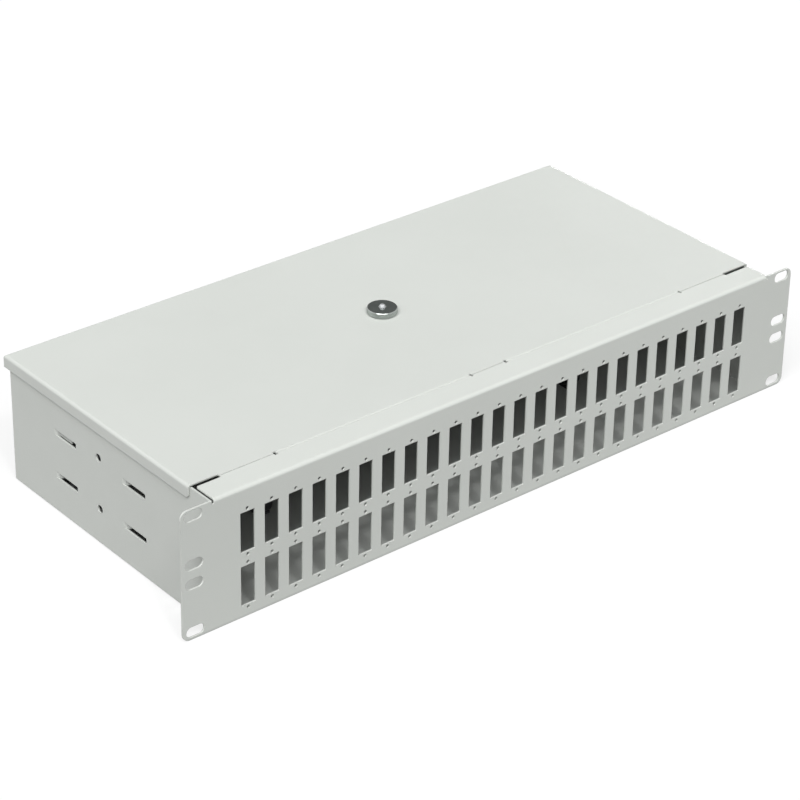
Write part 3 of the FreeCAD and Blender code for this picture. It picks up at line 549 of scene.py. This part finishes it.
def mix_by_sight(tree, thrown, seen, out):
    """Shows one shader where it is seen directly, and uses the other for the light thrown on the object."""
    mix = tree.nodes.new("ShaderNodeMixShader")
    tree.links.new(seen_directly(tree), mix.inputs["Fac"])
    tree.links.new(thrown.outputs[0], mix.inputs[1])
    tree.links.new(seen.outputs[0], mix.inputs[2])
    tree.links.new(mix.outputs[0], out.inputs["Surface"])


def background(tree, colour, strength):
    node = tree.nodes.new("ShaderNodeBackground")
    node.inputs["Color"].default_value = colour
    node.inputs["Strength"].default_value = strength
    return node


def world_light():
    """Soft sky that lights the object, seen as a white background."""
    world = bpy.data.worlds.new("studio")
    bpy.context.scene.world = world
    world.use_nodes = True
    tree = world.node_tree
    tree.nodes.clear()
    out = tree.nodes.new("ShaderNodeOutputWorld")
    sky = background(tree, SKY_COLOUR, SKY_LIGHT)
    white = background(tree, (1.0, 1.0, 1.0, 1.0), 1.0)
    mix_by_sight(tree, sky, white, out)


def plane(name, corners, mat):
    mesh = bpy.data.meshes.new(name)
    mesh.from_pydata(corners, [], [(0, 1, 2, 3)])
    mesh.materials.append(mat)
    piece = bpy.data.objects.new(name, mesh)
    bpy.context.scene.collection.objects.link(piece)
    return piece


def stage_material(name):
    mat = bpy.data.materials.new(name)
    mat.use_nodes = True
    tree = mat.node_tree
    tree.nodes.clear()
    return mat, tree, tree.nodes.new("ShaderNodeOutputMaterial")


def matt_shader(tree, colour):
    node = tree.nodes.new("ShaderNodeBsdfDiffuse")
    node.inputs["Color"].default_value = colour
    return node


def floor():
    """White with a faint shadow where it is seen, and grey in what it throws back at the object."""
    mat, tree, out = stage_material("pale_floor")
    matt = matt_shader(tree, (FLOOR_WHITE, FLOOR_WHITE, FLOOR_WHITE, 1.0))
    glow = tree.nodes.new("ShaderNodeEmission")
    glow.inputs["Strength"].default_value = 1.0
    white = tree.nodes.new("ShaderNodeMixShader")
    white.inputs["Fac"].default_value = FLOOR_GLOW
    tree.links.new(matt.outputs[0], white.inputs[1])
    tree.links.new(glow.outputs[0], white.inputs[2])
    grey = matt_shader(tree, (FLOOR_BOUNCE, FLOOR_BOUNCE, FLOOR_BOUNCE, 1.0))
    mix_by_sight(tree, grey, white, out)
    half = FLOOR_SIZE / 2
    corners = [(-half, -half), (half, -half), (half, half), (-half, half)]
    plane("floor", [(x, y, -FLOOR_DROP) for x, y in corners], mat)


def lamp(name, towards, strength, spread):
    """Far lamp that lights the whole floor evenly; its spread in degrees sets how soft its shadows are."""
    light = bpy.data.lights.new(name, "SUN")
    light.angle = math.radians(spread)
    light.energy = strength
    holder = bpy.data.objects.new(name, light)
    direction = Vector(towards).normalized()
    holder.location = direction * LAMP_DISTANCE
    holder.rotation_euler = direction.to_track_quat("Z", "Y").to_euler()
    bpy.context.scene.collection.objects.link(holder)


def towards_camera():
    azimuth = math.radians(CAMERA_AZIMUTH)
    elevation = math.radians(CAMERA_ELEVATION)
    level = math.cos(elevation)
    return Vector((math.sin(azimuth) * level, -math.cos(azimuth) * level, math.sin(elevation)))


def dark_card():
    """Dark studio card behind the object, which shows only in polished metal."""
    mat, tree, out = stage_material("dark_card")
    matt = matt_shader(tree, CARD_GREY)
    tree.links.new(matt.outputs[0], out.inputs["Surface"])
    back = towards_camera()
    away = Vector((-back.x, -back.y, back.z))
    across = away.cross(Vector((0, 0, 1))).normalized()
    upward = across.cross(away) * CARD_SIZE[1] / 2
    across = across * CARD_SIZE[0] / 2
    low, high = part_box("thumb_nut")
    middle = (low + high) / 2 + away * CARD_DISTANCE
    bottom, top = middle - upward, middle + upward
    card = plane("dark_card", [bottom - across, bottom + across, top + across, top - across], mat)
    card.visible_camera = False
    card.visible_diffuse = False
    card.visible_shadow = False
    card.visible_transmission = False


def camera():
    roll = math.radians(CAMERA_ROLL)
    back = towards_camera()
    right = (-back).cross(Vector((0, 0, 1))).normalized()
    up = right.cross(-back)
    across = right * math.cos(roll) + up * math.sin(roll)
    upward = up * math.cos(roll) - right * math.sin(roll)
    turn = Matrix((across, upward, back)).transposed().to_4x4()
    data = bpy.data.cameras.new("camera")
    data.sensor_width = CAMERA_SENSOR
    data.lens = CAMERA_LENS
    data.shift_x, data.shift_y = CAMERA_SHIFT
    data.clip_end = CAMERA_REACH
    holder = bpy.data.objects.new("camera", data)
    holder.matrix_world = Matrix.Translation(CAMERA_PLACE) @ turn
    bpy.context.scene.collection.objects.link(holder)
    bpy.context.scene.camera = holder


world_light()
floor()
for name, (towards, strength, spread) in LAMPS.items():
    lamp(name, towards, strength, spread)
dark_card()
camera()
bpy.context.scene.view_settings.view_transform = "Standard"
